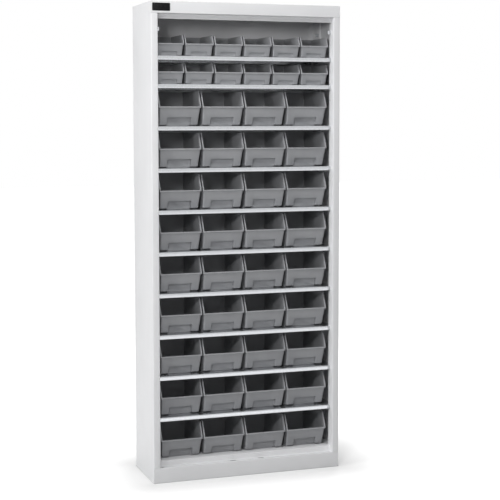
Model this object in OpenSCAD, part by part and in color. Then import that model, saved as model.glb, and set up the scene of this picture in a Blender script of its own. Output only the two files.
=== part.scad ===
// Parts bin cabinet: a shallow folded-steel carcass with slotted posts, hung shelves and
// open-fronted picking bins that lift out of each row.
// Frame: origin on the floor under the middle of the bounding box, +Z up, the open front
// faces -Y. Inside the modules y is the depth behind the front plane of the carcass.

/* [Large bins] */
// Width over the rim
large_w = 157; // [100:1:220]
// Depth from the lip to the back rim
large_d = 225; // [150:1:320]
// Height of the back and side walls
large_h = 125; // [90:1:180]
// Height of the front lip
large_lip_h = 70; // [45:1:85]
// Distance from the lip back to the foot of the sloping face
large_foot_run = 26; // [10:1:40]
// Distance that the side edges run back while they rise from the lip
large_edge_run = 27; // [10:1:60]
// Draft of each side wall below the lip
large_draft = 4; // [1:0.5:8]
// Width of the grip recess in the face
large_grip_w = 88; // [40:1:90]
// Height of the grip recess above the base
large_grip_h = 31; // [15:1:40]
// Depth of the grip recess at its top edge
large_grip_top_d = 17; // [3:0.5:22]
// Depth of the grip recess at the base
large_grip_foot_d = 11; // [6:0.5:18]
// Height of the stacking step under the front corners
large_step_h = 4.5; // [2:0.5:8]

/* [Small bins] */
// Width over the rim
small_w = 107; // [70:1:120]
// Depth from the lip to the back rim
small_d = 165; // [110:1:225]
// Height of the back and side walls
small_h = 75; // [60:1:110]
// Height of the front lip
small_lip_h = 44; // [30:1:52]
// Distance from the lip back to the foot of the sloping face
small_foot_run = 16; // [6:1:26]
// Distance that the side edges run back while they rise from the lip
small_edge_run = 16; // [6:1:40]
// Draft of each side wall below the lip
small_draft = 2.5; // [1:0.5:6]
// Width of the grip recess in the face
small_grip_w = 58; // [30:1:62]
// Height of the grip recess above the base
small_grip_h = 16; // [10:1:24]
// Depth of the grip recess at its top edge
small_grip_top_d = 6; // [2:0.5:10]
// Depth of the grip recess at the base
small_grip_foot_d = 3.5; // [2:0.5:16]
// Height of the stacking step under the front corners
small_step_h = 2.5; // [1:0.5:5]

/* [Bin mouldings] */
// Wall thickness of the bins
bin_wall = 2; // [1.5:0.1:3]
// Floor thickness of the bins
bin_floor = 2.5; // [1.5:0.1:4]
// Distance that the rim stands out of the walls
rim_out = 2; // [1:0.1:4]
// Height of the rim
rim_h = 5; // [3:0.5:10]
// Draft of the side walls above the lip
upper_draft = 0.5; // [0:0.1:2]
// Draft of the back wall over its whole height
back_draft = 4; // [1:0.5:10]
// Length of the stacking step behind the face
step_len = 20; // [8:1:45]

/* [Layout] */
// Rows of large bins
large_rows = 9; // [2:1:10]
// Large bins side by side
large_cols = 4; // [2:1:5]
// Rows of small bins above them
small_rows = 2; // [1:1:3]
// Small bins side by side
small_cols = 6; // [2:1:7]
// Least gap between neighbouring large bins
large_gap = 5; // [3:0.5:20]
// Least gap between neighbouring small bins
small_gap = 4; // [3:0.5:20]
// Space between the last large bin and the post
large_side_room = 12; // [4:0.5:40]
// Space between the last small bin and the post
small_side_room = 2.5; // [2:0.5:40]
// Setback of the large bins behind the shelf edge
large_setback = 10; // [2:0.5:20]
// Setback of the small bins behind the shelf edge
small_setback = 20; // [2:0.5:40]
// Space behind the large bins
rear_room = 3; // [1:0.5:30]
// Head room over the bins under a shelf
head_room = 9; // [4:0.5:40]
// Head room over the bins of the lowest row
bottom_head_room = 16; // [4:0.5:60]
// Head room over the top row, up to the stop flange
top_head_room = 53.5; // [20:0.5:150]
// Running gap under each bin
bin_rest_gap = 0.3; // [0.1:0.05:0.6]

/* [Carcass] */
// Thickness of the painted sheet
sheet_t = 1; // [0.7:0.1:1.5]
// Width of the front stiles
stile_w = 25; // [20:0.5:40]
// Depth of the slotted return behind each stile
stile_return = 40; // [38:0.5:60]
// Height of the fascia
fascia_h = 42; // [40:0.5:90]
// Height of the plinth face
plinth_h = 55; // [40:0.5:120]
// Depth of the door recess in front of the shelves
recess_d = 25; // [20:0.5:30]
// Height of the door stop above the sill
sill_step = 20; // [10:0.5:40]
// Drop of the stop flange below the fascia
stop_drop = 17.5; // [8:0.5:40]
// Width of the rear flanges
rear_flange = 18; // [12:0.5:25]
// Width of the hidden flanges under the roof and above the floor
fold_flange = 15; // [8:0.5:20]
// Inset of the back panel's edge from the outside
back_inset = 3; // [0:0.5:6]

/* [Shelves and clips] */
// Thickness of the shelf sheet
shelf_t = 1; // [0.7:0.1:1.5]
// Height of the folded shelf edge
shelf_edge_h = 16; // [15.5:0.5:30]
// Width of the return under the folded edge
shelf_hem = 8; // [4:0.5:15]
// Side clearance of a shelf
shelf_clear = 0.7; // [0.3:0.1:2]
// Width of a shelf clip
clip_w = 13; // [8:0.5:13]
// Height of a shelf clip
clip_h = 13; // [11:0.5:13.5]
// Thickness of a shelf clip
clip_t = 1.5; // [1:0.1:2]
// Length of the ledge that carries the shelf
clip_ledge = 12; // [6:0.5:16]
// Width of the hook of a clip
hook_w = 6; // [4:0.5:7]
// Thickness of the hook
hook_t = 2; // [1.5:0.1:2.4]
// Clearance of the hook in its slot
hook_clear = 0.5; // [0.2:0.1:0.8]
// Depth of the front clips' centre line
front_clip_s = 33; // [33:0.5:33.5]
// Distance of the rear clips' centre line from the rear flange
rear_clip_back = 64; // [30:1:90]
// Width of the slotted strips on the side walls
strip_w = 30; // [20:0.5:40]
// Distance that the slotted strips stand off the side walls
strip_out = 5; // [4.5:0.5:12]
// Slots for each large shelf pitch
large_slots = 3; // [1:1:6]
// Slots for each small shelf pitch
small_slots = 2; // [1:1:4]

/* [Fittings] */
// Width of the name plate
plate_w = 65; // [30:1:90]
// Height of the name plate
plate_h = 28; // [12:0.5:34]
// Thickness of the name plate
plate_t = 1; // [0.5:0.1:3]
// Corner radius of the name plate
plate_r = 3; // [1:0.5:5]
// Distance of the plate from the side of the carcass
plate_side = 5; // [3:0.5:30]
// Distance of the plate below the top of the carcass
plate_drop = 6.5; // [3:0.5:8]
// Radius of the door pivot holes
pivot_r = 4; // [2.5:0.1:5]
// Distance of a pivot hole's axis from the post
pivot_side = 9; // [7:0.5:14]
// Depth of a pivot hole's axis behind the front plane
pivot_s = 8; // [7.5:0.5:11]
// Length of the lock bolt slots
bolt_slot_l = 24; // [14:1:40]
// Width of the lock bolt slots
bolt_slot_w = 9; // [4:0.5:10]
// Spacing of the lock bolt slots
bolt_slot_gap = 108; // [60:1:200]
// Depth of the lock bolt slots behind the front plane
bolt_slot_s = 16; // [12:0.5:18]
// Radius of the wall anchor holes
anchor_r = 4; // [2.5:0.5:6]
// Spacing of the wall anchor holes
anchor_gap = 500; // [200:5:540]
// Distance of the wall anchor holes below the top
anchor_drop = 32; // [25:1:120]

/* [Hidden] */
$fn = 48;
EPS = 0.01;      // overlap of cutters past a face
REACH = 400;     // length of cutters that run right through a bin

LARGE = "large";
SMALL = "small";
ROWS = large_rows + small_rows;

// Widths: the opening holds the wider of the two kinds of row
function row_width(cols, w, gap, room) = cols * w + (cols - 1) * gap + 2 * room;
opening_w = max(row_width(large_cols, large_w, large_gap, large_side_room),
                row_width(small_cols, small_w, small_gap, small_side_room));
cab_w = opening_w + 2 * stile_w;

// Depths, measured behind the front plane
bins_d = max(large_setback + large_d, small_setback + small_d);
flange_s = recess_d + bins_d + rear_room;   // front of the rear flanges
back_s = flange_s + sheet_t;                // front of the back panel
cab_d = back_s + sheet_t;
front_y = -(cab_d - plate_t) / 2;           // the plate stands out in front
rear_clip_s = flange_s - rear_clip_back;

// Heights
floor_z = plinth_h + sill_step;
large_pitch = large_h + head_room + shelf_edge_h;
small_pitch = small_h + head_room + shelf_edge_h;
bottom_pitch = large_h + bottom_head_room + shelf_edge_h;
function level_z(k) =
    k == 0 ? floor_z
    : k <= large_rows ? floor_z + bottom_pitch + (k - 1) * large_pitch
    : level_z(large_rows) + (k - large_rows) * small_pitch;
top_level = ROWS - 1;
stop_z = level_z(top_level) + small_h + top_head_room;
fascia_z = stop_z + stop_drop;
cab_h = fascia_z + fascia_h;

// Slot heights: every shelf level, and even steps between the levels
slot_drop = shelf_t + clip_t + hook_t + 2 * hook_clear;
slot_levels = concat(
    [for (k = [1 : large_rows - 1], i = [0 : large_slots - 1]) level_z(k) + i * large_pitch / large_slots],
    [for (k = [large_rows : top_level - 1], i = [0 : small_slots - 1])
        level_z(k) + i * small_pitch / small_slots],
    [for (i = [0 : small_slots]) level_z(top_level) + i * small_pitch / small_slots]);
spare_z = level_z(top_level) + small_pitch;   // one unused set of clips above the top row

// Shelf widths: a tongue between the posts, and the full bay behind them
tongue_w = opening_w - 2 * (clip_t + shelf_clear);
bay_w = cab_w - 2 * (sheet_t + strip_out + clip_t + shelf_clear);
shelf_end_s = flange_s - 2 * shelf_clear;
bay_s = stile_return + shelf_clear;           // where the shelf and the floor widen

function row_kind(r) = r <= small_rows ? SMALL : LARGE;
function row_cols(r) = row_kind(r) == SMALL ? small_cols : large_cols;
function bin_name(r, c) = str(row_kind(r), "_bin_", r, "_", c);

// The end bins stand beside the posts, and the others share the width between them
function row_pitch(r) =
    let (small = row_kind(r) == SMALL,
         room = small ? small_side_room : large_side_room,
         w = small ? small_w : large_w)
    (opening_w - 2 * room - w) / (row_cols(r) - 1);
function bin_x(r, c) = (c - (row_cols(r) + 1) / 2) * row_pitch(r);

// ---- Bins: lip in front at y = 0, base at z = 0, centred on x = 0 ----

// Side view (y, z) extruded across the bin
module across(points, width) {
    translate([-width / 2, 0, 0]) rotate([90, 0, 90]) linear_extrude(width) polygon(points);
}

// Front view (x, z) extruded from the front to the back
module lengthways(points) {
    translate([0, REACH, 0]) rotate([90, 0, 0]) linear_extrude(2 * REACH) polygon(points);
}

// Front view of the walls, inset by t and closed at height base
function wall_outline(w, lip_h, h, draft, t, base, top) =
    let (mid = w / 2 - rim_out - upper_draft - t,
         low = mid - draft * (lip_h - base) / lip_h,
         high = mid + upper_draft * (top - lip_h) / (h - lip_h))
    [[-low, base], [low, base], [mid, lip_h], [high, top], [-high, top], [-mid, lip_h]];

// Side view of the outside of the walls
function body_profile(d, h, lip_h, foot_run, edge_run) =
    let (back = d - rim_out)
    [[rim_out, lip_h], [rim_out + edge_run, h], [back, h], [back - back_draft, 0], [foot_run, 0]];

// Side view of the space inside, open upwards and forwards above the lip
function space_profile(d, h, lip_h, foot_run) =
    let (slope = (foot_run - rim_out) / lip_h,
         face = rim_out + bin_wall,
         back = d - rim_out - bin_wall)
    [[face + slope * (lip_h - bin_floor), bin_floor], [face, lip_h], [-REACH, lip_h], [-REACH, h + REACH],
     [back, h + REACH], [back, h], [back - back_draft * (h - bin_floor) / h, bin_floor]];

// Side view of the rim along the lip, the rising edge and the top
function rim_profile(d, h, lip_h, edge_run) =
    let (rise = h - lip_h,
         shift = rim_h * sqrt(rise * rise + edge_run * edge_run) / rise)
    [[0, lip_h - rim_h], [0, lip_h], [edge_run, h], [d, h], [d, h - rim_h],
     [edge_run + shift - rim_h * edge_run / rise, h - rim_h], [shift, lip_h], [shift, lip_h - rim_h]];

// Side view of the grip recess, grown by t
function grip_profile(lip_h, foot_run, grip_h, top_d, foot_d, t) =
    let (slope = (foot_run - rim_out) / lip_h,
         face_top = rim_out + slope * (lip_h - grip_h),
         lean = (foot_run + foot_d - face_top - top_d) / grip_h)
    [[-REACH, -REACH], [-REACH, grip_h + t], [face_top + top_d + t - lean * t, grip_h + t],
     [foot_run + foot_d + t, 0], [foot_run + foot_d + t, -REACH]];

module bin(w, d, h, lip_h, foot_run, edge_run, draft, grip_w, grip_h, top_d, foot_d, step_h) {
    module grip(t) {
        across(grip_profile(lip_h, foot_run, grip_h, top_d, foot_d, t), grip_w + 2 * t);
    }
    module step(t) {
        difference() {
            translate([-REACH, -REACH, -REACH])
                cube([2 * REACH, REACH + foot_run + step_len + t, REACH + step_h + t]);
            translate([-grip_w / 2 + t, -2 * REACH, -2 * REACH])
                cube([grip_w - 2 * t, 4 * REACH, 4 * REACH]);
        }
    }
    module space() {
        difference() {
            intersection() {
                across(space_profile(d, h, lip_h, foot_run), 2 * REACH);
                lengthways(wall_outline(w, lip_h, h, draft, bin_wall, bin_floor, h + rim_h));
            }
            grip(bin_wall);
            step(bin_wall);
        }
    }
    difference() {
        union() {
            intersection() {
                across(body_profile(d, h, lip_h, foot_run, edge_run), 2 * REACH);
                lengthways(wall_outline(w, lip_h, h, draft, 0, 0, h));
            }
            across(rim_profile(d, h, lip_h, edge_run), w);
        }
        space();
        grip(0);
        step(0);
    }
}

module large_bin() {
    bin(large_w, large_d, large_h, large_lip_h, large_foot_run, large_edge_run, large_draft,
        large_grip_w, large_grip_h, large_grip_top_d, large_grip_foot_d, large_step_h);
}

module small_bin() {
    bin(small_w, small_d, small_h, small_lip_h, small_foot_run, small_edge_run, small_draft,
        small_grip_w, small_grip_h, small_grip_top_d, small_grip_foot_d, small_step_h);
}

// One bin in its place: rows count from the top, columns from the left
module placed_bin(r, c) {
    kind = row_kind(r);
    setback = kind == SMALL ? small_setback : large_setback;
    color([0.47, 0.475, 0.485])
        translate([bin_x(r, c), recess_d + setback, level_z(ROWS - r) + bin_rest_gap]) {
            if (kind == SMALL) small_bin();
            else large_bin();
        }
}

// ---- Carcass ----

// Box from one corner to the opposite one
module block(low, high) {
    translate(low) cube(high - low);
}

// Slots for the hooks of the clips, in a sheet that faces x
module slot_row(x, s) {
    for (z = slot_levels)
        block([x - sheet_t - EPS, s - hook_w / 2 - hook_clear, z - slot_drop],
              [x + EPS, s + hook_w / 2 + hook_clear, z - slot_drop + hook_t + 2 * hook_clear]);
}

// Left side: wall, stile with its slotted return, rear flange and bottom flange
module side_sheet() {
    left = -cab_w / 2;
    post = -opening_w / 2;
    difference() {
        union() {
            block([left, 0, plinth_h], [left + sheet_t, back_s, fascia_z]);
            block([left, sheet_t, 0], [left + sheet_t, back_s, cab_h - sheet_t]);
            block([left, 0, plinth_h], [post, sheet_t, fascia_z]);
            block([post - sheet_t, 0, plinth_h], [post, stile_return, fascia_z]);
            block([left, flange_s, 0], [left + rear_flange, back_s, cab_h - sheet_t]);
            block([left, fold_flange, 0], [left + fold_flange, back_s, sheet_t]);
        }
        slot_row(post, front_clip_s);
    }
}

module left_side() {
    color([0.86, 0.865, 0.87]) side_sheet();
}

module right_side() {
    color([0.86, 0.865, 0.87]) mirror([1, 0, 0]) side_sheet();
}

// Slotted strip that stands off the side wall near the back
module slot_strip() {
    wall = -cab_w / 2 + sheet_t;
    face = wall + strip_out;
    color([0.86, 0.865, 0.87])
        difference() {
            block([wall, rear_clip_s - strip_w / 2, floor_z], [face, rear_clip_s + strip_w / 2, fascia_z]);
            block([wall - EPS, rear_clip_s - strip_w / 2 + sheet_t, floor_z - EPS],
                  [face - sheet_t, rear_clip_s + strip_w / 2 - sheet_t, fascia_z + EPS]);
            slot_row(face, rear_clip_s);
        }
}

module left_slot_strip() {
    slot_strip();
}

module right_slot_strip() {
    mirror([1, 0, 0]) slot_strip();
}

// Back sheet with its two wall anchor holes
module back_panel() {
    edge = cab_w / 2 - back_inset;
    color([0.86, 0.865, 0.87])
        difference() {
            block([-edge, back_s, back_inset], [edge, cab_d, cab_h - back_inset]);
            for (side = [-1, 1])
                translate([side * anchor_gap / 2, cab_d + EPS, cab_h - anchor_drop])
                    rotate([90, 0, 0]) cylinder(h = sheet_t + 2 * EPS, r = anchor_r);
        }
}

// Pivot holes for a pair of doors, through a level sheet
module pivot_holes(z) {
    for (side = [-1, 1])
        translate([side * (opening_w / 2 - pivot_side), pivot_s, z - EPS])
            cylinder(h = sheet_t + 2 * EPS, r = pivot_r);
}

// Roof folded down into the fascia, back into the recess and down into the door stop
module roof_panel() {
    side = cab_w / 2;
    inside = side - sheet_t;
    post = opening_w / 2;
    top = cab_h - sheet_t;
    color([0.86, 0.865, 0.87])
        difference() {
            union() {
                block([-side, 0, top], [side, back_s, cab_h]);
                block([-side, 0, fascia_z], [side, sheet_t, cab_h]);
                block([-inside, 0, fascia_z], [inside, recess_d + sheet_t, fascia_z + sheet_t]);
                block([-post, recess_d, stop_z], [post, recess_d + sheet_t, fascia_z + sheet_t]);
                for (m = [0, 1])
                    mirror([m, 0, 0])
                        block([inside - sheet_t, bay_s, top - fold_flange], [inside, flange_s, top + EPS]);
                block([rear_flange - side, flange_s, top - fold_flange],
                      [side - rear_flange, back_s, top + EPS]);
            }
            pivot_holes(fascia_z);
        }
}

// Stadium slot through a level sheet
module bolt_slot(z) {
    straight = bolt_slot_l - bolt_slot_w;
    translate([0, 0, z - EPS])
        linear_extrude(sheet_t + 2 * EPS) {
            square([straight, bolt_slot_w], center = true);
            for (end = [-1, 1])
                translate([end * straight / 2, 0]) circle(d = bolt_slot_w);
        }
}

// Floor folded down into the door stop, forward into the sill and down into the plinth
module base_panel() {
    side = cab_w / 2;
    inside = side - sheet_t;
    post = opening_w / 2;
    sill_z = plinth_h - sheet_t;
    color([0.86, 0.865, 0.87])
        difference() {
            union() {
                block([-side, 0, 0], [side, sheet_t, plinth_h]);
                block([-inside, 0, 0], [inside, fold_flange, sheet_t]);
                block([-inside, 0, sill_z], [inside, recess_d + sheet_t, plinth_h]);
                block([-post, recess_d, sill_z], [post, recess_d + sheet_t, floor_z]);
                block([-post, recess_d, floor_z - sheet_t], [post, bay_s + EPS, floor_z]);
                block([-inside, bay_s, floor_z - sheet_t], [inside, flange_s, floor_z]);
                block([rear_flange - side, flange_s - EPS, 0], [side - rear_flange, back_s, floor_z]);
            }
            pivot_holes(sill_z);
            for (end = [-1, 1])
                translate([end * bolt_slot_gap / 2, bolt_slot_s, 0]) bolt_slot(sill_z);
        }
}

// One shelf with folded front and rear edges, its top face at z = 0
module shelf() {
    module edge(w, s, dir) {
        inner = s + dir * shelf_t;
        hem = s + dir * (shelf_t + shelf_hem);
        block([-w / 2, min(s, inner), -shelf_edge_h], [w / 2, max(s, inner), 0]);
        block([-w / 2, min(s, hem), -shelf_edge_h], [w / 2, max(s, hem), shelf_t - shelf_edge_h]);
    }
    block([-tongue_w / 2, recess_d, -shelf_t], [tongue_w / 2, bay_s + EPS, 0]);
    block([-bay_w / 2, bay_s, -shelf_t], [bay_w / 2, shelf_end_s, 0]);
    edge(tongue_w, recess_d, 1);
    edge(bay_w, shelf_end_s, -1);
}

module shelves() {
    color([0.78, 0.8, 0.82])
        for (k = [1 : top_level])
            translate([0, 0, level_z(k)]) shelf();
}

// One clip on the face of a left-hand post, its ledge's top at z = 0 and its web in front
module clip() {
    hook_z = -(slot_drop - shelf_t) + hook_clear;
    back = -(sheet_t + hook_clear + clip_t);
    block([0, -clip_w / 2, -clip_h], [clip_t, clip_w / 2, 0]);
    block([0, -clip_w / 2, -clip_t], [clip_ledge, clip_w / 2, 0]);
    block([0, -clip_w / 2, -clip_h], [clip_ledge, clip_t - clip_w / 2, 0]);
    block([back, -hook_w / 2, hook_z], [EPS, hook_w / 2, hook_z + hook_t]);
    block([back, -hook_w / 2, hook_z - hook_t], [back + clip_t, hook_w / 2, hook_z + hook_t]);
}

// The four clips of one level
module clip_set(z) {
    for (m = [0, 1])
        mirror([m, 0, 0]) {
            translate([-opening_w / 2, front_clip_s, z]) clip();
            translate([-cab_w / 2 + sheet_t + strip_out, rear_clip_s, z]) clip();
        }
}

module shelf_clips() {
    color([0.7, 0.71, 0.73]) {
        for (k = [1 : top_level]) clip_set(level_z(k) - shelf_t);
        clip_set(spare_z - shelf_t);
    }
}

// Bare plate with rounded corners on the fascia
module name_plate() {
    color([0.04, 0.04, 0.045])
        translate([plate_side - cab_w / 2, 0, cab_h - plate_drop - plate_h])
            rotate([90, 0, 0])
                linear_extrude(plate_t)
                    union() {
                        translate([plate_r, 0]) square([plate_w - 2 * plate_r, plate_h]);
                        translate([0, plate_r]) square([plate_w, plate_h - 2 * plate_r]);
                        for (x = [plate_r, plate_w - plate_r], z = [plate_r, plate_h - plate_r])
                            translate([x, z]) circle(r = plate_r);
                    }
}

module in_frame() {
    translate([0, front_y, 0]) children();
}

in_frame() left_side();
in_frame() right_side();
in_frame() back_panel();
in_frame() roof_panel();
in_frame() base_panel();
in_frame() left_slot_strip();
in_frame() right_slot_strip();
in_frame() shelves();
in_frame() shelf_clips();
in_frame() name_plate();
for (r = [1 : ROWS], c = [1 : row_cols(r)])
    in_frame() placed_bin(r, c);
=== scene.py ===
"""Parts bin cabinet: meshes, finishes, studio and camera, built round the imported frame.

All lengths are in metres, in the frame's own axes: +Z up, the open front faces -Y.
"""

import sys
import logging
import math
from dataclasses import dataclass, field
from enum import Enum
from typing import Callable, Iterable, Sequence

import bmesh
import bpy
from mathutils import Euler, Matrix, Vector


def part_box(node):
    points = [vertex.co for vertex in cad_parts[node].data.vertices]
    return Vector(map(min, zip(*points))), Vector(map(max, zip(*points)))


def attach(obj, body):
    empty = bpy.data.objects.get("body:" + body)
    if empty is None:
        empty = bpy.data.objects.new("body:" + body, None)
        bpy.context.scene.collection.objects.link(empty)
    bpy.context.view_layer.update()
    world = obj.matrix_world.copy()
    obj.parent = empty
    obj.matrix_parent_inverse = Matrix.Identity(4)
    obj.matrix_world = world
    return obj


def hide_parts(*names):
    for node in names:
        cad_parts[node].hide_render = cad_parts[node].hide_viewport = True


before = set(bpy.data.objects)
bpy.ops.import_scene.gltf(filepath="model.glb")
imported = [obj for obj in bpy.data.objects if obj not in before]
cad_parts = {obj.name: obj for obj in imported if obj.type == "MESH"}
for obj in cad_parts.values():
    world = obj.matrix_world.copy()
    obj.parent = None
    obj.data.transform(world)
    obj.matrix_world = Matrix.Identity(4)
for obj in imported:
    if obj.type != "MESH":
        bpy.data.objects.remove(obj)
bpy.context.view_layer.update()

MM = 0.001
REACH = 0.4                 # length of a cutter that runs right through a bin or a panel
PAST = 5 * MM               # how far a cutter runs past the edge of a sheet
PEG_LENGTH = 12 * MM        # length of the pegs that cut holes, half of it on each side
PEG_SIDES = 32
FOLD_STEPS = 5
NEAR = 1e-4                 # places closer than this are taken as one
LOG = logging.getLogger("parts_bin_cabinet")

Point = Sequence[float]
Two = tuple[float, float]
Three = tuple[float, float, float]
Four = tuple[float, float, float, float]
Mesh = bmesh.types.BMesh
Edge = bmesh.types.BMEdge
Socket = bpy.types.NodeSocket
Material = bpy.types.Material


class Slot(Enum):
    """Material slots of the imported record."""

    STEEL = "painted_steel"
    GALVANISED = "galvanised_steel"
    PLASTIC = "bin_plastic"
    PLATE = "plate_black"


class Carve(Enum):
    """What a boolean does with its second mesh."""

    CUT = "DIFFERENCE"
    JOIN = "UNION"
    KEEP = "INTERSECT"


class Along(Enum):
    """Axis that a profile is drawn out along, and how its two coordinates are laid."""

    X = (1.0, 0.0, 0.0)     # profile is (y, z)
    Z = (0.0, 0.0, 1.0)     # profile is (x, y)

    def at(self, point: Point, place: float) -> Vector:
        """Profile point at one place along the axis.

        Args:
            point: The two profile coordinates.
            place: The coordinate along the axis.

        Returns:
            The point in the frame.
        """
        a, b = point
        return Vector((place, a, b)) if self is Along.X else Vector((a, b, place))


# ---------------------------------------------------------------- mesh tools


def block(low: Point, high: Point) -> Mesh:
    """Box from one corner to the opposite one.

    Args:
        low: The lowest corner.
        high: The highest corner.

    Returns:
        A new bmesh.
    """
    bm = bmesh.new()
    low, high = Vector(low), Vector(high)
    bmesh.ops.create_cube(bm, size=1.0)
    bmesh.ops.scale(bm, vec=high - low, verts=bm.verts)
    bmesh.ops.translate(bm, vec=(low + high) / 2, verts=bm.verts)
    return bm


def drawn(points: Sequence[Point], along: Along, low: float, high: float) -> Mesh:
    """Closed prism with the outline of some points.

    Args:
        points: The outline, in the order of Along.
        along: The axis it is drawn out along.
        low: Where it starts.
        high: Where it ends.

    Returns:
        A new bmesh with its faces outwards.
    """
    bm = bmesh.new()
    face = bm.faces.new([bm.verts.new(along.at(p, low)) for p in points])
    grown = bmesh.ops.extrude_face_region(bm, geom=[face], use_keep_orig=True)
    moved = [e for e in grown["geom"] if isinstance(e, bmesh.types.BMVert)]
    bmesh.ops.translate(bm, vec=Vector(along.value) * (high - low), verts=moved)
    bmesh.ops.recalc_face_normals(bm, faces=bm.faces)
    return bm


def joined(parts: Iterable[Mesh]) -> Mesh:
    """Several meshes as one, without a boolean. The parts are freed.

    Args:
        parts: The meshes to put together.

    Returns:
        A new bmesh.
    """
    whole = bmesh.new()
    for part in parts:
        mesh = bpy.data.meshes.new("part")
        part.to_mesh(mesh)
        part.free()
        whole.from_mesh(mesh)
        bpy.data.meshes.remove(mesh)
    return whole


def as_object(bm: Mesh, name: str) -> bpy.types.Object:
    """Linked object with a bmesh's mesh, which is freed.

    Args:
        bm: The mesh.
        name: The object's name.

    Returns:
        The new object.
    """
    mesh = bpy.data.meshes.new(name)
    bm.to_mesh(mesh)
    bm.free()
    obj = bpy.data.objects.new(name, mesh)
    bpy.context.scene.collection.objects.link(obj)
    return obj


def carve(bm: Mesh, tool: Mesh, how: Carve) -> Mesh:
    """Exact boolean of two closed meshes, which are both freed.

    Args:
        bm: The mesh that is worked on.
        tool: The mesh that cuts it, joins it or is its limit.
        how: The kind of boolean.

    Returns:
        A new bmesh.
    """
    target, cutter = as_object(bm, "target"), as_object(tool, "cutter")
    modifier = target.modifiers.new("carve", "BOOLEAN")
    modifier.operation, modifier.solver, modifier.object = how.value, "EXACT", cutter
    bpy.context.view_layer.update()
    result = bmesh.new()
    result.from_mesh(target.evaluated_get(bpy.context.evaluated_depsgraph_get()).data)
    for obj in (target, cutter):
        mesh = obj.data
        bpy.data.objects.remove(obj)
        bpy.data.meshes.remove(mesh)
    bmesh.ops.remove_doubles(result, verts=result.verts, dist=1e-6)
    bmesh.ops.dissolve_limit(result, angle_limit=1e-3, verts=result.verts, edges=result.edges)
    return result


def round_edges(
    bm: Mesh,
    radius: float,
    segments: int,
    chosen: Callable[[Edge], bool],
    clamp: bool = True,
) -> None:
    """Bevels the edges that a test picks.

    Args:
        bm: The mesh, which is changed in place.
        radius: Width of the bevel.
        segments: Steps across it.
        chosen: Test of one edge.
        clamp: Whether the shortest edge limits the width.
    """
    edges = [e for e in bm.edges if chosen(e)]
    if edges:
        bmesh.ops.bevel(
            bm, geom=edges, offset=radius, offset_type="OFFSET", segments=segments,
            profile=0.5, affect="EDGES", clamp_overlap=clamp, material=-1,
        )


def sharp(edge: Edge, angle: float = math.radians(25)) -> bool:
    """True for an edge between two faces that meet at more than an angle."""
    return len(edge.link_faces) == 2 and edge.calc_face_angle(0.0) > angle


def folded(
    points: Sequence[Point],
    along: Along,
    low: float,
    high: float,
    thickness: float,
    radius: float,
) -> Mesh:
    """Sheet with rounded folds. Its metal lies to the right of the line of points.

    Args:
        points: Corners of the sheet's outer face.
        along: The axis it is drawn out along.
        low: Where it starts.
        high: Where it ends.
        thickness: Thickness of the metal.
        radius: Outer radius of the folds.

    Returns:
        A new closed bmesh.
    """
    bm = bmesh.new()
    line = [bm.verts.new(along.at(p, low)) for p in points]
    edges = [bm.edges.new(pair) for pair in zip(line, line[1:])]
    grown = bmesh.ops.extrude_edge_only(bm, edges=edges)
    moved = [e for e in grown["geom"] if isinstance(e, bmesh.types.BMVert)]
    bmesh.ops.translate(bm, vec=Vector(along.value) * (high - low), verts=moved)
    bmesh.ops.recalc_face_normals(bm, faces=bm.faces)
    (a0, b0), (a1, b1) = points[0], points[1]
    right = along.at((b1 - b0, a0 - a1), 0.0)
    middle = (along.at(points[0], low) + along.at(points[1], high)) / 2
    first = min(bm.faces, key=lambda f: (f.calc_center_median() - middle).length)
    if first.normal.dot(right) > 0:
        bmesh.ops.reverse_faces(bm, faces=bm.faces)
    round_edges(bm, radius, FOLD_STEPS, sharp)
    bmesh.ops.solidify(bm, geom=list(bm.faces), thickness=thickness)
    bmesh.ops.recalc_face_normals(bm, faces=bm.faces)
    return bm


def pegs(places: Iterable[Point], radius: float, axis: Vector) -> Mesh:
    """Cylinders that cut round holes.

    Args:
        places: Centres of the cylinders.
        radius: Radius of each.
        axis: Direction that they run in.

    Returns:
        A new bmesh.
    """
    bm = bmesh.new()
    turn = Vector((0, 0, 1)).rotation_difference(axis).to_matrix().to_4x4()
    for place in places:
        bmesh.ops.create_cone(
            bm, cap_ends=True, segments=PEG_SIDES, radius1=radius, radius2=radius,
            depth=PEG_LENGTH, matrix=Matrix.Translation(place) @ turn,
        )
    return bm


# ---------------------------------------------------------------- finishes


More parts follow.
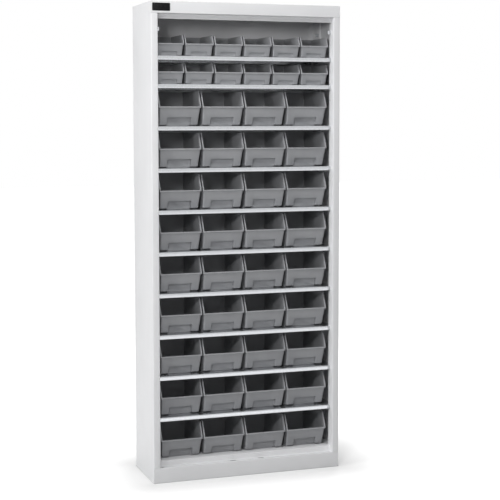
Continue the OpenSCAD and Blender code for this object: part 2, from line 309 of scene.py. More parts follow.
class Shader:
    """Short hand for a material's node tree."""

    def __init__(self, name: str) -> None:
        """Starts a material with its Principled shader.

        Args:
            name: Name of the material.
        """
        self.material = bpy.data.materials.new(name)
        self.material.use_nodes = True
        self.tree = self.material.node_tree
        self.principled = self.tree.nodes["Principled BSDF"]
        self.place = self.node("ShaderNodeTexCoord").outputs["Object"]

    def node(self, kind: str, **settings: object) -> bpy.types.Node:
        """New node with some of its properties set.

        Args:
            kind: Blender's name of the node.
            **settings: Properties of the node.

        Returns:
            The node.
        """
        made = self.tree.nodes.new(kind)
        for key, value in settings.items():
            setattr(made, key, value)
        return made

    def link(self, source: Socket, node: bpy.types.Node, socket: str | int) -> None:
        """Joins an output to an input of a node."""
        self.tree.links.new(source, node.inputs[socket])

    def noise(self, scale: float, detail: float, stretch: Point = (1, 1, 1)) -> Socket:
        """Noise on the object's own coordinates.

        Args:
            scale: Waves in a metre, about.
            detail: Levels of finer noise.
            stretch: Scale along each axis.

        Returns:
            The noise value.
        """
        mapping = self.node("ShaderNodeMapping")
        mapping.inputs["Scale"].default_value = stretch
        self.link(self.place, mapping, "Vector")
        noise = self.node("ShaderNodeTexNoise")
        noise.inputs["Scale"].default_value = scale
        noise.inputs["Detail"].default_value = detail
        self.link(mapping.outputs["Vector"], noise, "Vector")
        return noise.outputs["Fac"]

    def ramp(self, value: Socket, stops: Sequence[tuple[float, Point]]) -> Socket:
        """Colour ramp over a value.

        Args:
            value: The value that the ramp reads.
            stops: Places and colours, from the lowest place.

        Returns:
            The colour.
        """
        ramp = self.node("ShaderNodeValToRGB")
        elements = ramp.color_ramp.elements
        for place, _ in stops[2:]:
            elements.new(place)
        for element, (place, colour) in zip(elements, stops):
            element.position = place
            element.color = (*colour, 1.0)
        self.link(value, ramp, "Fac")
        return ramp.outputs["Color"]

    def spread(self, value: Socket, low: float, high: float) -> Socket:
        """Maps a value from 0 to 1 onto a range.

        Args:
            value: The value.
            low: Result at 0.
            high: Result at 1.

        Returns:
            The mapped value.
        """
        mapped = self.node("ShaderNodeMapRange")
        mapped.inputs["To Min"].default_value = low
        mapped.inputs["To Max"].default_value = high
        self.link(value, mapped, "Value")
        return mapped.outputs["Result"]

    def bump(self, height: Socket, strength: float, distance: float) -> None:
        """Adds a bump to the shader's normal, over the ones before it.

        Args:
            height: The height of the bump.
            strength: Share of it that shows.
            distance: Its depth in metres.
        """
        bump = self.node("ShaderNodeBump")
        bump.inputs["Strength"].default_value = strength
        bump.inputs["Distance"].default_value = distance
        self.link(height, bump, "Height")
        before = self.principled.inputs["Normal"]
        if before.is_linked:
            self.link(before.links[0].from_socket, bump, "Normal")
        self.link(bump.outputs["Normal"], self.principled, "Normal")


def clear_view(tree: bpy.types.NodeTree) -> Socket:
    """Tells the rays that show the background from those that only carry light.

    Args:
        tree: The node tree that asks.

    Returns:
        1 for rays of the camera, of gloss and of glass, and 0 for the others.
    """
    path = tree.nodes.new("ShaderNodeLightPath")
    seen = path.outputs["Is Camera Ray"]
    for kind in ("Is Glossy Ray", "Is Transmission Ray"):
        either = tree.nodes.new("ShaderNodeMath")
        either.operation = "MAXIMUM"
        tree.links.new(seen, either.inputs[0])
        tree.links.new(path.outputs[kind], either.inputs[1])
        seen = either.outputs["Value"]
    return seen


@dataclass(frozen=True)
class PowderCoat:
    """Light grey powder coat with a fine orange peel."""

    name: str = "light_grey_powder_coat"
    light: Three = (0.775, 0.778, 0.79)
    dark: Three = (0.74, 0.743, 0.755)
    roughness: float = 0.42
    peel: float = 420.0

    def material(self) -> Material:
        """The material."""
        shader = Shader(self.name)
        cloud = shader.noise(5.0, 3.0)
        colour = shader.ramp(cloud, ((0.35, self.dark), (0.65, self.light)))
        shader.link(colour, shader.principled, "Base Color")
        low, high = self.roughness - 0.05, self.roughness + 0.07
        rough = shader.spread(shader.noise(40.0, 4.0), low, high)
        shader.link(rough, shader.principled, "Roughness")
        shader.bump(shader.noise(self.peel, 2.0), 0.25, 0.15 * MM)
        shader.bump(shader.noise(6.0, 1.0), 0.10, 0.6 * MM)
        return shader.material


@dataclass(frozen=True)
class Galvanised:
    """Bright galvanised sheet with a small spangle and rolling streaks."""

    name: str = "galvanised_sheet"
    light: Three = (0.60, 0.613, 0.634)
    dark: Three = (0.53, 0.543, 0.563)
    spangle: float = 240.0
    spangle_share: float = 0.45
    streaks: Two = (0.1, 0.5)
    roughness: Two = (0.12, 0.20)
    metal: float = 0.92

    def material(self) -> Material:
        """The material."""
        shader = Shader(self.name)
        cells = shader.node("ShaderNodeTexVoronoi")
        cells.inputs["Scale"].default_value = self.spangle
        shader.link(shader.place, cells, "Vector")
        tone = shader.node("ShaderNodeSeparateColor")
        shader.link(cells.outputs["Color"], tone, "Color")
        mix = shader.node("ShaderNodeMath", operation="MULTIPLY_ADD")
        mix.inputs[1].default_value = self.spangle_share
        shader.link(tone.outputs["Red"], mix, 0)
        streak = shader.spread(shader.noise(9.0, 4.0, (1.0, 18.0, 18.0)), *self.streaks)
        shader.link(streak, mix, 2)
        colour = shader.ramp(mix.outputs["Value"], ((0.2, self.dark), (0.8, self.light)))
        shader.link(colour, shader.principled, "Base Color")
        rough = shader.spread(mix.outputs["Value"], *self.roughness)
        shader.link(rough, shader.principled, "Roughness")
        shader.principled.inputs["Metallic"].default_value = self.metal
        shader.bump(tone.outputs["Green"], 0.06, 0.05 * MM)
        return shader.material


@dataclass(frozen=True)
class BinPlastic:
    """Mid grey moulded plastic with a fine texture and faint flow marks."""

    name: str = "grey_moulded_plastic"
    light: Three = (0.332, 0.337, 0.350)
    dark: Three = (0.292, 0.297, 0.310)
    roughness: float = 0.46

    def material(self) -> Material:
        """The material."""
        shader = Shader(self.name)
        flow = shader.noise(14.0, 3.0, (1.0, 1.0, 0.4))
        colour = shader.ramp(flow, ((0.3, self.dark), (0.7, self.light)))
        shader.link(colour, shader.principled, "Base Color")
        low, high = self.roughness - 0.06, self.roughness + 0.08
        rough = shader.spread(shader.noise(60.0, 4.0), low, high)
        shader.link(rough, shader.principled, "Roughness")
        shader.bump(shader.noise(1500.0, 2.0), 0.20, 0.08 * MM)
        shader.bump(shader.noise(22.0, 1.0), 0.12, 0.4 * MM)
        return shader.material


@dataclass(frozen=True)
class BlackPlate:
    """Black enamelled plate."""

    name: str = "black_enamel"
    light: Three = (0.011, 0.011, 0.012)
    dark: Three = (0.006, 0.006, 0.007)
    roughness: Two = (0.44, 0.54)

    def material(self) -> Material:
        """The material."""
        shader = Shader(self.name)
        cloud = shader.noise(120.0, 3.0)
        colour = shader.ramp(cloud, ((0.4, self.dark), (0.6, self.light)))
        shader.link(colour, shader.principled, "Base Color")
        rough = shader.spread(shader.noise(300.0, 3.0), *self.roughness)
        shader.link(rough, shader.principled, "Roughness")
        shader.principled.inputs["Specular IOR Level"].default_value = 0.1
        shader.bump(shader.noise(700.0, 2.0), 0.15, 0.05 * MM)
        return shader.material


@dataclass(frozen=True)
class StudioFloor:
    """Pale floor whose glow is dimmed near the cabinet's footprint, which paints a soft shade
    round its base on top of the real shadow; further out it is lost in the background.
    """

    name: str = "studio_floor"
    colour: Three = (0.6, 0.6, 0.6)
    middle: Two = (0.358, 0.132)
    reach: float = 0.5
    glow_with_painted_shade: tuple[Two, ...] = (       # share of the reach, and the glow there; the low glow near the footprint paints a soft shade
        (0.0, 0.0), (0.01, 0.27), (0.16, 0.43), (0.4, 0.69), (1.0, 1.0),
    )

    def material(self) -> Material:
        """The material."""
        shader = Shader(self.name)
        shader.principled.inputs["Base Color"].default_value = (*self.colour, 1.0)
        shader.principled.inputs["Roughness"].default_value = 0.9
        shader.principled.inputs["Specular IOR Level"].default_value = 0.1
        # distance out from the cabinet's footprint, which places the painted shade round its base
        away = shader.place
        steps = (("ABSOLUTE", None), ("SUBTRACT", (*self.middle, 0.0)), ("MAXIMUM", (0, 0, 0)))
        for operation, other in steps:
            step = shader.node("ShaderNodeVectorMath", operation=operation)
            shader.link(away, step, 0)
            if other:
                step.inputs[1].default_value = other
            away = step.outputs["Vector"]
        length = shader.node("ShaderNodeVectorMath", operation="LENGTH")
        shader.link(away, length, 0)
        share = shader.node("ShaderNodeMapRange")
        share.inputs["From Max"].default_value = self.reach
        shader.link(length.outputs["Value"], share, "Value")
        # glow from none under the cabinet to full past the reach: the dim ring near the base is
        # painted shade, added to the real shadow there
        stops = [(place, (value,) * 3) for place, value in self.glow_with_painted_shade]
        glow_with_painted_shade = shader.ramp(share.outputs["Result"], stops)
        strength = shader.node("ShaderNodeMath", operation="MULTIPLY")
        shader.link(clear_view(shader.tree), strength, 0)
        shader.link(glow_with_painted_shade, strength, 1)
        shader.principled.inputs["Emission Color"].default_value = (1, 1, 1, 1)
        shader.link(strength.outputs["Value"], shader.principled, "Emission Strength")
        return shader.material


@dataclass
class Paints:
    """One material for each slot, made once."""

    by_slot: dict[Slot, Material] = field(default_factory=dict)

    def mix(self) -> None:
        """Makes the materials."""
        self.by_slot = {
            Slot.STEEL: PowderCoat().material(),
            Slot.GALVANISED: Galvanised().material(),
            Slot.PLASTIC: BinPlastic().material(),
            Slot.PLATE: BlackPlate().material(),
        }

    def dress(self, obj: bpy.types.Object, slot: Slot, body: str, *nodes: str) -> None:
        """Finishes a piece: material, body, slot and the nodes that it stands for.

        Args:
            obj: The piece.
            slot: Its material slot.
            body: The body that it rides on.
            *nodes: The frame's nodes that it replaces.
        """
        obj.data.materials.clear()
        obj.data.materials.append(self.by_slot[slot])
        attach(obj, body)
        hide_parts(*nodes)
        LOG.info("%s: %d faces, for %s", obj.name, len(obj.data.polygons), ", ".join(nodes))


def smooth(obj: bpy.types.Object) -> None:
    """Shades a piece smooth, with hard edges past 30 degrees.

    Args:
        obj: The piece.
    """
    angle = math.radians(30)
    bm = bmesh.new()
    bm.from_mesh(obj.data)
    for face in bm.faces:
        face.smooth = True
    for edge in bm.edges:
        edge.smooth = not sharp(edge, angle)
    bm.to_mesh(obj.data)
    bm.free()


# ---------------------------------------------------------------- the cabinet


@dataclass
class Levels:
    """Heights that the rows stand at, read from the frame."""

    bins: dict[str, tuple[Vector, Vector]]
    gap: float = 0.3 * MM       # running gap under each bin

    @classmethod
    def read(cls) -> "Levels":
        """Boxes of all bins in the frame."""
        names = [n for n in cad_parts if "_bin_" in n]
        return cls({n: tuple(Vector(c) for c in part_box(n)) for n in sorted(names)})

    @property
    def tops(self) -> list[float]:
        """Heights of the floor and of every shelf's top, from the lowest."""
        return sorted({round(low.z - self.gap, 5) for low, _ in self.bins.values()})


@dataclass(frozen=True)
class SpotWelds:
    """Dimples of the welds round the back panel."""

    pitch: float = 95 * MM
    side_inset: float = 6 * MM
    foot_inset: float = 25 * MM
    top_inset: float = 8 * MM
    ball: float = 9 * MM
    dent: float = 0.35 * MM

    def spots(self, low: Vector, high: Vector) -> list[Two]:
        """Places of the dimples on a panel.

        Args:
            low: The panel's lowest corner.
            high: Its highest corner.

        Returns:
            The x and z of each.
        """
        wide, tall = high.x - low.x, high.z - low.z
        rows, across = round(tall / self.pitch), round(wide / self.pitch)
        spots = [
            (side * (high.x - self.side_inset), low.z + (i + 0.5) * tall / rows)
            for side in (-1, 1) for i in range(rows)
        ]
        spots += [
            (low.x + (i + 0.5) * wide / across, z)
            for z in (low.z + self.foot_inset, high.z - self.top_inset) for i in range(across)
        ]
        return spots


@dataclass
class Carcass:
    """Folded steel sheets: sides, roof, base, back and the slotted strips."""

    paints: Paints
    levels: Levels
    body: str = "cabinet"
    sheet: float = 1.0 * MM
    fold: float = 2.2 * MM
    stile: float = 25 * MM
    post_depth: float = 40 * MM
    fascia: float = 42 * MM
    recess: float = 25 * MM
    hidden_flange: float = 15 * MM
    rear_flange: float = 18 * MM
    floor_notch: float = 40.7 * MM
    plinth_high: float = 55 * MM
    slot_size: Two = (7 * MM, 3 * MM)      # wide, high
    slot_drop: float = 5.5 * MM
    slot_counts: tuple[int, int] = (3, 2)                  # in a tall and in a low pitch
    tall_pitch: float = 120 * MM
    front_slot: float = 33 * MM
    strip: Two = (30 * MM, 5 * MM)         # wide, out from the side
    strip_fold: float = 1.5 * MM
    rear_slot: float = 199 * MM
    pivot: Three = (9 * MM, 8 * MM, 4 * MM)        # inset, depth, radius
    bolt_slot: Four = (108 * MM, 24 * MM, 9 * MM, 16 * MM)     # apart, length, width, depth
    anchor: Three = (500 * MM, 32 * MM, 4 * MM)    # apart, drop, radius
    back_edge: float = 0.3 * MM
    welds: SpotWelds = SpotWelds()

    def __post_init__(self) -> None:
        """Reads the outer sizes from the frame."""
        low, high = (Vector(c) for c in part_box("roof_panel"))
        self.half, self.front, self.back, self.top = high.x, low.y, high.y, high.z
        self.post = self.half - self.stile
        self.stop_z = low.z
        self.fascia_z = self.top - self.fascia
        self.floor_z = self.levels.tops[0]
        self.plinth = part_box("left_side")[0][2] + self.plinth_high

    def y(self, depth: float) -> float:
        """Frame coordinate of a depth behind the front plane."""
        return self.front + depth

    def slot_heights(self) -> list[float]:
        """Centres of the slots: one for each shelf, and even steps between."""
        tops = self.levels.tops[1:]
        steps = [(a, b - a) for a, b in zip(tops, tops[1:])]
        steps.append((tops[-1], tops[-1] - tops[-2]))
        tall, low = self.slot_counts
        heights = []
        for start, pitch in steps:
            count = tall if pitch > self.tall_pitch else low
            heights += [start + i * pitch / count for i in range(count)]
        heights.append(tops[-1] + steps[-1][1])
        return [z - self.slot_drop for z in heights]

    def slots(self, x: float, depth: float) -> Mesh:
        """Cutters for a column of slots in a sheet that faces x.

        Args:
            x: Where the sheet's face is.
            depth: The column's depth behind the front plane.

        Returns:
            The cutters as one mesh.
        """
        wide, high = self.slot_size
        reach = 3 * self.sheet
        return joined(
            block(
                (x - reach, self.y(depth) - wide / 2, z - high / 2),
                (x + reach, self.y(depth) + wide / 2, z + high / 2),
            )
            for z in self.slot_heights()
        )

    def side_mesh(self) -> Mesh:
        """Left side with its stile, slotted return and flanges."""
        left, post, t = -self.half, -self.post, self.sheet
        outline = [
            (post, self.y(self.post_depth)), (post, self.front), (left, self.front),
            (left, self.back), (left + self.rear_flange, self.back),
        ]
        sheet = folded(outline, Along.Z, 0.0, self.top - t, t, self.fold)
        rear = self.y(self.post_depth) + PAST
        for low, high in ((-PAST, self.plinth), (self.fascia_z, self.top + PAST)):
            for near, far in (
                ((left - PAST, self.front - PAST, low), (post + PAST, self.front + t, high)),
                ((left + t, self.front, low), (post + PAST, rear, high)),
            ):
                sheet = carve(sheet, block(near, far), Carve.CUT)
        sheet = carve(sheet, self.slots(post, self.front_slot), Carve.CUT)
        flange = block(
            (left + t, self.y(self.hidden_flange), 0.0),
            (left + self.hidden_flange, self.back - t, t),
        )
        return joined([sheet, flange])

    def roof_mesh(self) -> Mesh:
        """Roof folded into the fascia, the return and the door stop."""
        t, half, post = self.sheet, self.half, self.post
        outline = [
            (self.y(self.recess), self.stop_z), (self.y(self.recess), self.fascia_z),
            (self.front, self.fascia_z), (self.front, self.top),
            (self.back, self.top), (self.back, self.top - t - self.hidden_flange),
        ]
        sheet = folded(outline, Along.X, -half, half, t, self.fold)
        for side in (-1, 1):
            cuts = (
                (post, self.front + t, self.y(REACH), self.stop_z - PAST, self.fascia_z),
                (half - self.rear_flange, self.back - 2 * t, self.back + PAST,
                 self.stop_z, self.top - t),
            )
            sheet = self.trimmed(sheet, side, cuts)
        sheet = carve(sheet, self.pivots(self.fascia_z), Carve.CUT)
        inside = half - t
        flanges = [
            block(
                (min(side * inside, side * (inside - t)), self.y(self.floor_notch),
                 self.top - t - self.hidden_flange),
                (max(side * inside, side * (inside - t)), self.back - t, self.top - t),
            )
            for side in (-1, 1)
        ]
        return joined([sheet, *flanges])

    def trimmed(self, sheet: Mesh, side: int, cuts: Iterable[Point]) -> Mesh:
        """Sheet with some blocks cut from one end, each from an x to past the side.

        Args:
            sheet: The sheet.
            side: -1 for the left end and 1 for the right one.
            cuts: The x, lowest and highest y, and lowest and highest z of each.

        Returns:
            The sheet that is left.
        """
        for x, y_low, y_high, z_low, z_high in cuts:
            ends = sorted((side * x, side * (self.half + PAST)))
            cutter = block((ends[0], y_low, z_low), (ends[1], y_high, z_high))
            sheet = carve(sheet, cutter, Carve.CUT)
        return sheet

    def pivots(self, z: float) -> Mesh:
        """Cutters for the two door pivot holes."""
        inset, depth, radius = self.pivot
        places = [(side * (self.post - inset), self.y(depth), z) for side in (-1, 1)]
        return pegs(places, radius, Vector((0, 0, 1)))

    def base_mesh(self) -> Mesh:
        """Floor folded into the door stop, the sill and the plinth."""
        t, half, post = self.sheet, self.half, self.post
        outline = [
            (self.y(self.hidden_flange), 0.0), (self.front, 0.0), (self.front, self.plinth),
            (self.y(self.recess), self.plinth), (self.y(self.recess), self.floor_z),
            (self.back, self.floor_z), (self.back, 0.0),
        ]
        sheet = folded(outline, Along.X, -half, half, t, self.fold)
        above, behind = self.floor_z + PAST, self.back + PAST
        for side in (-1, 1):
            cuts = (
                (post, self.y(self.recess) - PAST, self.y(self.floor_notch), self.plinth, above),
                (half - t, self.front + t, behind, -PAST, above),
                (half - self.rear_flange, self.back - t, behind, -PAST, above),
            )
            sheet = self.trimmed(sheet, side, cuts)
        sheet = carve(sheet, self.pivots(self.plinth), Carve.CUT)
        return carve(sheet, self.bolt_slots(), Carve.CUT)

    def bolt_slots(self) -> Mesh:
        """Cutters for the two lock bolt slots, with round ends."""
        gap, length, width, depth = self.bolt_slot
        cutters = []
        for side in (-1, 1):
            middle = side * gap / 2
            straight = (length - width) / 2
            bar = block(
                (middle - straight, self.y(depth) - width / 2, self.plinth - PEG_LENGTH / 2),
                (middle + straight, self.y(depth) + width / 2, self.plinth + PEG_LENGTH / 2),
            )
            ends = pegs(
                [(middle + end * straight, self.y(depth), self.plinth) for end in (-1, 1)],
                width / 2, Vector((0, 0, 1)),
            )
            cutters.append(carve(bar, ends, Carve.JOIN))
        return joined(cutters)

    def back_mesh(self) -> Mesh:
        """Back panel with its anchor holes and the dimples of its spot welds."""
        low, high = (Vector(c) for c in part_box("back_panel"))
        gap, drop, radius = self.anchor
        places = [(side * gap / 2, high.y, self.top - drop) for side in (-1, 1)]
        holes = pegs(places, radius, Vector((0, 1, 0)))
        panel = carve(block(low, high), holes, Carve.CUT)
        outer = 100 * MM        # the outer edges are longer than this, those of the holes shorter
        round_edges(panel, self.back_edge, 2, lambda e: sharp(e) and e.calc_length() > outer)
        dimples = bmesh.new()
        away = self.welds.ball - self.welds.dent
        for x, z in self.welds.spots(low, high):
            bmesh.ops.create_icosphere(
                dimples, subdivisions=3, radius=self.welds.ball,
                matrix=Matrix.Translation((x, high.y + away, z)),
            )
        return carve(panel, dimples, Carve.CUT)

    def strip_mesh(self) -> Mesh:
        """Slotted strip on the left side wall."""
        wide, out = self.strip
        wall, t = -self.half + self.sheet, self.sheet
        near, far = self.y(self.rear_slot) - wide / 2, self.y(self.rear_slot) + wide / 2
        outline = [(wall, far), (wall + out, far), (wall + out, near), (wall, near)]
        sheet = folded(outline, Along.Z, self.floor_z, self.fascia_z, t, self.strip_fold)
        return carve(sheet, self.slots(wall + out, self.rear_slot), Carve.CUT)

    def build(self) -> None:
        """Builds, mirrors and dresses every sheet."""
        mirror = Matrix.Scale(-1, 4, (1, 0, 0))
        for make, left, right in (
            (self.side_mesh, "left_side", "right_side"),
            (self.strip_mesh, "left_slot_strip", "right_slot_strip"),
        ):
            bm = make()
            twin = bm.copy()
            bmesh.ops.transform(twin, matrix=mirror, verts=twin.verts)
            bmesh.ops.recalc_face_normals(twin, faces=twin.faces)
            for mesh, node in ((bm, left), (twin, right)):
                self.finish(mesh, node)
        self.finish(self.roof_mesh(), "roof_panel")
        self.finish(self.base_mesh(), "base_panel")
        self.finish(self.back_mesh(), "back_panel")

    def finish(self, bm: Mesh, node: str) -> None:
        """Dresses one sheet.

        Args:
            bm: Its mesh.
            node: The node that it replaces.
        """
        piece = as_object(bm, f"{node}_sheet")
        smooth(piece)
        self.paints.dress(piece, Slot.STEEL, self.body, node)


@dataclass
class Shelves:
    """Galvanised shelves with folded front and rear edges."""

    paints: Paints
    carcass: Carcass
    sheet: float = 1.0 * MM
    fold: float = 3.6 * MM
    edge: float = 16 * MM
    hem: float = 9 * MM
    tongue_gap: float = 2.2 * MM

    def one(self, top: float) -> Mesh:
        """One shelf.

        Args:
            top: Height of its top face.

        Returns:
            Its mesh.
        """
        low, high = (Vector(c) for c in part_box("shelves"))
        under = top - self.edge
        outline = [
            (low.y + self.hem, under), (low.y, under), (low.y, top), (high.y, top),
            (high.y, under), (high.y - self.hem, under),
        ]
        sheet = folded(outline, Along.X, low.x, high.x, self.sheet, self.fold)
        tongue = self.carcass.post - self.tongue_gap
        notch = self.carcass.y(self.carcass.floor_notch)
        for side in (-1, 1):
            ends = sorted((side * tongue, side * (high.x + PAST)))
            cut = block((ends[0], low.y - PAST, under - PAST), (ends[1], notch, top + PAST))
            sheet = carve(sheet, cut, Carve.CUT)
        return sheet

    def build(self) -> None:
        """Builds and dresses all shelves as one piece."""
        sheets = joined(self.one(top) for top in self.carcass.levels.tops[1:])
        piece = as_object(sheets, "shelf_sheets")
        smooth(piece)
        self.paints.dress(piece, Slot.GALVANISED, self.carcass.body, "shelves")


@dataclass
class Clips:
    """Bent clips that hook into the slots and carry the shelves."""

    paints: Paints
    carcass: Carcass
    wide: float = 13 * MM
    high: float = 13 * MM
    thick: float = 1.5 * MM
    ledge: float = 12 * MM
    hook: Three = (6 * MM, 2 * MM, 3 * MM)     # wide, thick, reach
    hook_drop: float = 4.5 * MM
    sunk: float = 0.2 * MM
    edge: float = 0.35 * MM
    shelf_sheet: float = 1.0 * MM

    def one(self) -> Mesh:
        """One clip on a left-hand post, its ledge's top at the origin."""
        wide, thick, reach = self.hook
        plate = block((0, -self.wide / 2, -self.high), (self.thick, self.wide / 2, 0))
        shelf = block((0, -self.wide / 2, -self.thick), (self.ledge, self.wide / 2, 0))
        web = block((0, -self.wide / 2, -self.high), (self.ledge, self.thick - self.wide / 2, 0))
        body = carve(carve(plate, shelf, Carve.JOIN), web, Carve.JOIN)
        upper, lower = -self.hook_drop + thick / 2, -self.hook_drop - thick / 2
        tip = -self.hook_drop - 1.5 * thick
        for low, high in (
            ((-reach, -wide / 2, lower), (self.sunk, wide / 2, upper)),
            ((-reach, -wide / 2, tip), (-reach + self.thick, wide / 2, upper)),
        ):
            body = carve(body, block(low, high), Carve.JOIN)
        round_edges(body, self.edge, 2, sharp)
        return body

    def build(self) -> None:
        """Copies the clip to every level and post."""
        c = self.carcass
        levels = c.levels.tops[1:]
        spare = 2 * levels[-1] - levels[-2]
        posts = ((-c.post, c.front_slot), (-c.half + c.sheet + c.strip[1], c.rear_slot))
        clip, copies = self.one(), []
        for top in (*levels, spare):
            for x, depth in posts:
                for side in (1, -1):
                    copy = clip.copy()
                    place = Matrix.Translation((x, c.y(depth), top - self.shelf_sheet))
                    turn = Matrix.Scale(side, 4, (1, 0, 0))
                    bmesh.ops.transform(copy, matrix=turn @ place, verts=copy.verts)
                    bmesh.ops.recalc_face_normals(copy, faces=copy.faces)
                    copies.append(copy)
        clip.free()
        piece = as_object(joined(copies), "bent_clips")
        smooth(piece)
        self.paints.dress(piece, Slot.GALVANISED, c.body, "shelf_clips")


@dataclass
class NamePlate:
    """Bare plate with rounded corners on the fascia."""

    paints: Paints
    body: str = "cabinet"
    corner: float = 3 * MM
    edge: float = 0.3 * MM

    def build(self) -> None:
        """Builds and dresses the plate."""
        low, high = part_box("name_plate")
        bm = block(low, high)
        front, half = low[1] + NEAR / 10, (high[1] - low[1]) / 2
        round_edges(bm, self.corner, 6, lambda e: abs((e.verts[0].co - e.verts[1].co).y) > half)
        round_edges(bm, self.edge, 2, lambda e: sharp(e) and all(v.co.y < front for v in e.verts))
        piece = as_object(bm, "bare_plate")
        smooth(piece)
        self.paints.dress(piece, Slot.PLATE, self.body, "name_plate")


@dataclass
class BinKind:
    """Sizes of one kind of bin, and the mesh that its bins share."""

    prefix: str
    lip: float
    foot: float
    rise: float
    draft: float
    grip: Four     # wide, high, depth at its top and at its foot
    step: float
    step_len: float = 20 * MM
    wall: float = 2.0 * MM
    floor: float = 2.5 * MM
    rim: Two = (2.0 * MM, 5.0 * MM)      # out, high
    lean: float = 0.5 * MM
    back_draft: float = 4 * MM
    corner: float = 5 * MM
    edge: float = 0.4 * MM
    weld: float = 0.35 * MM
    overlap: float = 0.6 * MM
    past: float = 20 * MM

    def measure(self, box: tuple[Vector, Vector]) -> None:
        """Takes the outer sizes from the box of one bin.

        Args:
            box: The lowest and highest corner.
        """
        low, high = box
        self.width, self.depth, self.height = high - low

    def walls(self, inset: float, base: float, top: float) -> Mesh:
        """Front view of the walls, drawn out from the front to the back.

        Args:
            inset: How far inside the outer walls.
            base: Lowest height.
            top: Highest height.

        Returns:
            The prism.
        """
        middle = self.width / 2 - self.rim[0] - self.lean - inset
        foot = middle - self.draft * (self.lip - base) / self.lip
        head = middle + self.lean * (top - self.lip) / (self.height - self.lip)
        outline = [
            (-foot, base), (foot, base), (middle, self.lip),
            (head, top), (-head, top), (-middle, self.lip),
        ]
        bm = drawn(outline, Along.X, -REACH, REACH)
        turn = Matrix.Rotation(math.pi / 2, 3, "Z")
        bmesh.ops.rotate(bm, cent=(0, 0, 0), matrix=turn, verts=bm.verts)
        return bm

    def across(self, points: Sequence[Point], half: float) -> Mesh:
        """Side view drawn out across the bin."""
        return drawn(points, Along.X, -half, half)

    def outer(self) -> Mesh:
        """Closed outside of the walls, with round corners."""
        out, back = self.rim[0], self.depth - self.rim[0]
        side = [
            (out, self.lip), (self.foot, 0.0), (back - self.back_draft, 0.0),
            (back, self.height), (out + self.rise, self.height),
        ]
        solid = carve(self.across(side, REACH), self.walls(0.0, 0.0, self.height), Carve.KEEP)
        round_edges(solid, self.corner, 5, self.is_upright)
        return solid

    def is_upright(self, edge: Edge) -> bool:
        """True for a corner that runs up between the front or back and a side."""
        a, b = (v.co for v in edge.verts)
        near, top = min(a.y, b.y), max(a.z, b.z)
        mostly_up = abs(a.z - b.z) > 0.5 * edge.calc_length()
        in_front = near < self.foot + NEAR and top < self.lip + NEAR
        behind = near > self.depth - self.rim[0] - self.back_draft - NEAR
        return sharp(edge) and mostly_up and (in_front or behind)

    def inner(self) -> Mesh:
        """Closed space inside the walls, open upwards and over the lip."""
        slope = (self.foot - self.rim[0]) / self.lip
        face, back = self.rim[0] + self.wall, self.depth - self.rim[0] - self.wall
        side = [
            (face + slope * (self.lip - self.floor), self.floor),
            (back - self.back_draft * (1 - self.floor / self.height), self.floor),
            (back, self.height), (back, self.height + REACH), (-REACH, self.height + REACH),
            (-REACH, self.lip), (face, self.lip),
        ]
        walls = self.walls(self.wall, self.floor, self.height + self.rim[1])
        space = carve(self.across(side, REACH), walls, Carve.KEEP)
        radius = self.corner - self.wall
        round_edges(space, radius, 4, lambda e: self.is_upright(e) or self.is_floor(e))
        return space

    def is_floor(self, edge: Edge) -> bool:
        """True for an edge along the floor of the space inside."""
        return sharp(edge) and all(abs(v.co.z - self.floor) < NEAR for v in edge.verts)

    def grip_cutter(self, grow: float) -> Mesh:
        """Prism of the grip recess, grown by a wall."""
        wide, high, top_d, foot_d = self.grip
        slope = (self.foot - self.rim[0]) / self.lip
        face = self.rim[0] + slope * (self.lip - high)
        lean = (self.foot + foot_d - face - top_d) / high
        deep = self.foot + foot_d + grow
        side = [
            (-self.past, -self.past), (deep, -self.past), (deep, 0.0),
            (face + top_d + grow - lean * grow, high + grow), (-self.past, high + grow),
        ]
        return self.across(side, wide / 2 + grow)

    def step_cutter(self, grow: float) -> Mesh:
        """Blocks of the step under both front corners, from just inside the recess."""
        wide = self.grip[0] / 2 - max(grow, self.overlap)
        end = self.foot + self.step_len + grow
        return joined(
            block(
                (min(side * wide, side * REACH), -self.past, -self.past),
                (max(side * wide, side * REACH), end, self.step + grow),
            )
            for side in (-1, 1)
        )

    def band(self) -> Mesh:
        """Block whose shell is the rim."""
        high = self.rim[1]
        rise, run = self.height - self.lip, self.rise
        shift = high * math.hypot(rise, run) / rise
        side = [
            (0.0, self.lip - high), (shift, self.lip - high), (shift, self.lip),
            (run + shift - high * run / rise, self.height - high),
            (self.depth, self.height - high), (self.depth, self.height),
            (run, self.height), (0.0, self.lip),
        ]
        band = self.across(side, self.width / 2)
        short = 2 * high
        round_edges(
            band, self.corner, 5, lambda e: self.is_upright(e) and e.calc_length() < short
        )
        return band

    def mesh(self) -> Mesh:
        """The whole bin, its lip's middle above the origin."""
        space = self.inner()
        for cutter in (self.grip_cutter(self.wall), self.step_cutter(self.wall)):
            space = carve(space, cutter, Carve.CUT)
        solid = carve(self.outer(), self.band(), Carve.JOIN)
        for cutter in (self.grip_cutter(0.0), self.step_cutter(0.0), space):
            solid = carve(solid, cutter, Carve.CUT)
        bmesh.ops.remove_doubles(solid, verts=solid.verts, dist=self.weld)
        angle, least = math.radians(40), 5 * self.edge
        round_edges(
            solid, self.edge, 2, lambda e: sharp(e, angle) and e.calc_length() > least, clamp=False
        )
        bmesh.ops.recalc_face_normals(solid, faces=solid.faces)
        return solid


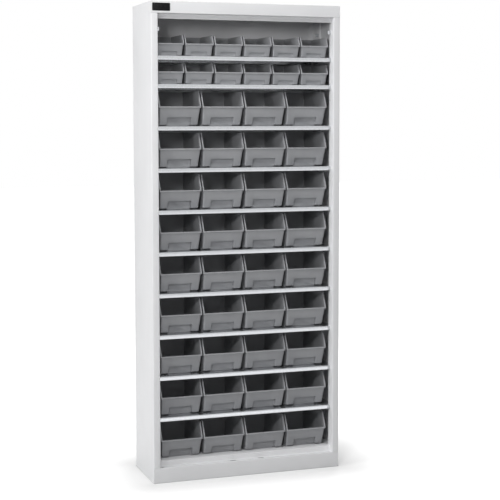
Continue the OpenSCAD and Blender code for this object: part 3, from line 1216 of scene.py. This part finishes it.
@dataclass
class Bins:
    """Every bin, each its own piece on its own body."""

    paints: Paints
    levels: Levels
    kinds: tuple[BinKind, ...] = (
        BinKind("large_bin", 70 * MM, 26 * MM, 27 * MM, 4 * MM,
                (88 * MM, 31 * MM, 17 * MM, 11 * MM), 4.5 * MM),
        BinKind("small_bin", 44 * MM, 16 * MM, 16 * MM, 2.5 * MM,
                (58 * MM, 16 * MM, 6 * MM, 3.5 * MM), 2.5 * MM, corner=4 * MM),
    )

    def build(self) -> None:
        """Builds one mesh of each kind and copies it to every node."""
        for kind in self.kinds:
            boxes = {n: b for n, b in self.levels.bins.items() if n.startswith(kind.prefix)}
            kind.measure(next(iter(boxes.values())))
            pattern = kind.mesh()
            for node, (low, high) in boxes.items():
                copy = pattern.copy()
                place = ((low.x + high.x) / 2, low.y, low.z)
                bmesh.ops.translate(copy, vec=place, verts=copy.verts)
                piece = as_object(copy, f"{node}_moulding")
                smooth(piece)
                self.paints.dress(piece, Slot.PLASTIC, node, node)
            pattern.free()


# ---------------------------------------------------------------- studio


@dataclass
class Softbox:
    """One square area lamp round the cabinet, which looks at its middle."""

    name: str
    azimuth: float          # degrees to the left of the front
    elevation: float        # degrees
    power: float            # watts
    distance: float = 3.0
    size: float = 1.0
    middle: Three = (0.0, 0.0, 0.86)

    def build(self) -> None:
        """Makes the lamp."""
        lamp = bpy.data.lights.new(self.name, "AREA")
        lamp.size = self.size
        lamp.energy = self.power
        obj = bpy.data.objects.new(self.name, lamp)
        turn = Euler((math.radians(-self.elevation), 0.0, math.radians(-self.azimuth)), "XYZ")
        away = Vector((0.0, -self.distance, 0.0))
        away.rotate(turn)
        obj.location = Vector(self.middle) + away
        obj.rotation_euler = (-away).to_track_quat("-Z", "Y").to_euler()
        obj.visible_camera = False
        bpy.context.scene.collection.objects.link(obj)


@dataclass
class Studio:
    """Floor, lamps, sky and camera."""

    ambient: float = 0.22
    floor_size: float = 40.0
    eye: Three = (-1.511, -4.5059, 1.3039)
    turn: Three = (19.143, 4.475, -0.08)       # degrees: yaw, pitch, roll
    focal: float = 1279.3                                           # pixels
    frame_px: float = 500.0
    sensor: float = 36.0
    shift: float = -0.06
    lamps: tuple[Softbox, ...] = (
        Softbox("side_key", 78.0, 24.0, 102.0, distance=5.0, size=1.6),
        Softbox("top_key", 15.0, 50.0, 30.6),
        Softbox("front_key", 30.0, 18.0, 13.4, size=0.4),
        Softbox("corner_key", 55.0, 12.0, 29.0, distance=5.0, size=0.5),
        Softbox("back_fill", 215.0, 30.0, 24.0),
    )

    def floor(self) -> None:
        """Floor under the cabinet."""
        bm = bmesh.new()
        bmesh.ops.create_grid(bm, x_segments=1, y_segments=1, size=self.floor_size / 2)
        obj = as_object(bm, "studio_floor")
        obj.data.materials.append(StudioFloor().material())

    def sky(self) -> None:
        """White background with a plain grey light."""
        world = bpy.data.worlds.new("studio")
        bpy.context.scene.world = world
        world.use_nodes = True
        tree = world.node_tree
        background = tree.nodes["Background"]
        background.inputs["Color"].default_value = (1, 1, 1, 1)
        strength = tree.nodes.new("ShaderNodeMapRange")
        strength.inputs["To Min"].default_value = self.ambient
        tree.links.new(clear_view(tree), strength.inputs["Value"])
        tree.links.new(strength.outputs["Result"], background.inputs["Strength"])

    def camera(self) -> None:
        """Camera in front, to the left."""
        data = bpy.data.cameras.new("camera")
        data.sensor_width = self.sensor
        data.lens = self.focal / self.frame_px * self.sensor
        data.shift_y = self.shift
        obj = bpy.data.objects.new("camera", data)
        yaw, pitch, roll = (math.radians(a) for a in self.turn)
        look = Euler((math.pi / 2 - pitch, 0.0, -yaw), "XYZ").to_matrix().to_4x4()
        obj.matrix_world = Matrix.Translation(self.eye) @ look @ Matrix.Rotation(roll, 4, "Z")
        bpy.context.scene.collection.objects.link(obj)
        bpy.context.scene.camera = obj

    def build(self) -> None:
        """Sets the whole studio."""
        self.floor()
        self.sky()
        for lamp in self.lamps:
            lamp.build()
        self.camera()
        bpy.context.scene.view_settings.view_transform = "Standard"


def main() -> None:
    """Builds the studio and then the cabinet from the outside in."""
    logging.basicConfig(
        level=logging.INFO, format="%(name)s %(message)s", stream=sys.stdout
    )
    Studio().build()
    paints = Paints()
    paints.mix()
    levels = Levels.read()
    carcass = Carcass(paints, levels)
    carcass.build()
    Shelves(paints, carcass).build()
    Clips(paints, carcass).build()
    NamePlate(paints).build()
    Bins(paints, levels).build()


if __name__ == "__main__":
    main()
